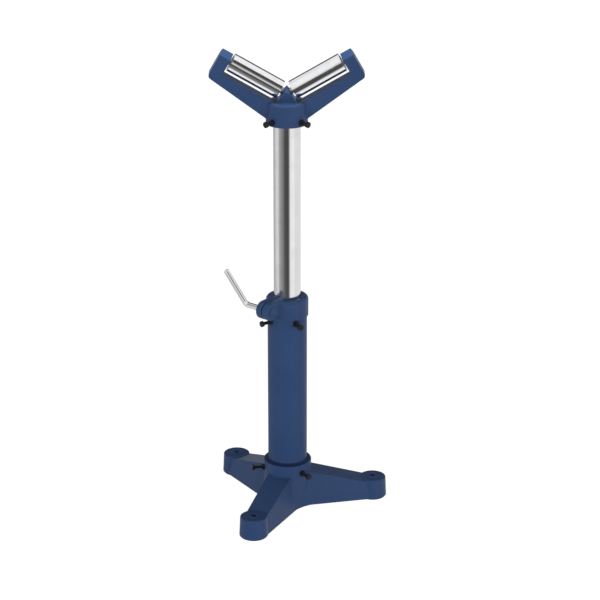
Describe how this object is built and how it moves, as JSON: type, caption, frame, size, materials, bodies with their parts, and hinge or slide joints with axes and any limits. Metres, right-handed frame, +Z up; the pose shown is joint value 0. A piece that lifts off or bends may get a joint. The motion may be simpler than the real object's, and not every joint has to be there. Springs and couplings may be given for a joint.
{
  "type": "roller stand",
  "caption": "Height-adjustable stand with a cast tripod base, a column, a split clamp with a cranked lever, a sliding mast and a V head that carries two bearing rollers.",
  "frame": {"origin": "centre of the floor bolt circle, at the level of the floor under the feet, on the column's axis", "axes": "+Z up along the column's axis, +X to the right and +Y away from the viewer of the picture; the rollers lie in the X-Z plane"},
  "size_m": [0.3986, 0.4066, 1.0742],
  "materials": {
    "blue_paint": "satin enamel over castings and pipe",
    "seal_rubber": "matt black rubber",
    "black_steel": "black oxide, lightly oiled",
    "chrome": "bright chrome plate",
    "bright_steel": "turned steel",
    "bronze": "sintered bronze"
  },
  "bodies": {
    "stand": {"base_casting": "blue_paint", "base_seal_ring": "seal_rubber", "base_set_bolts": "black_steel", "base_lock_nuts": "black_steel", "column_tube": "blue_paint", "clamp_casting": "blue_paint", "column_set_bolts": "black_steel", "column_lock_nuts": "black_steel", "clamp_washer": "bright_steel"},
    "lever": {"clamp_lever": "chrome"},
    "mast_guide": {"guide_bush": "bronze"},
    "mast": {"mast_tube": "chrome", "bush_circlips": "black_steel", "head_casting": "blue_paint", "head_set_bolts": "black_steel", "head_lock_nuts": "black_steel", "axle_left": "bright_steel", "axle_right": "bright_steel", "axle_grub_screws": "black_steel", "axle_spacers": "bright_steel", "bearing_inner_rings": "bright_steel"},
    "roller_left": {"roller_tube_left": "chrome", "roller_plugs_left": "bright_steel", "bearing_outer_rings_left": "bright_steel", "bearing_balls_left": "bright_steel"},
    "roller_right": {"roller_tube_right": "chrome", "roller_plugs_right": "bright_steel", "bearing_outer_rings_right": "bright_steel", "bearing_balls_right": "bright_steel"}
  },
  "joints": [
    {"name": "clamp_lever_turn", "type": "hinge", "parent": "stand", "child": "lever", "pos_m": [-0.04455, -0.05309, 0.49], "axis": [-0.766, 0.6428, 0], "range_deg": [0, 180]},
    {"name": "mast_lift", "type": "slide", "parent": "stand", "child": "mast_guide", "axis": [0, 0, 1], "range_m": [-0.392, 0]},
    {"name": "mast_swivel", "type": "hinge", "parent": "mast_guide", "child": "mast", "pos_m": [0, 0, 0.419], "axis": [0, 0, 1], "continuous": true},
    {"name": "roller_left_spin", "type": "hinge", "parent": "mast", "child": "roller_left", "pos_m": [0, 0, 0.975], "axis": [-0.866, 0, 0.5], "continuous": true},
    {"name": "roller_right_spin", "type": "hinge", "parent": "mast", "child": "roller_right", "pos_m": [0, 0, 0.975], "axis": [0.866, 0, 0.5], "continuous": true}
  ]
}
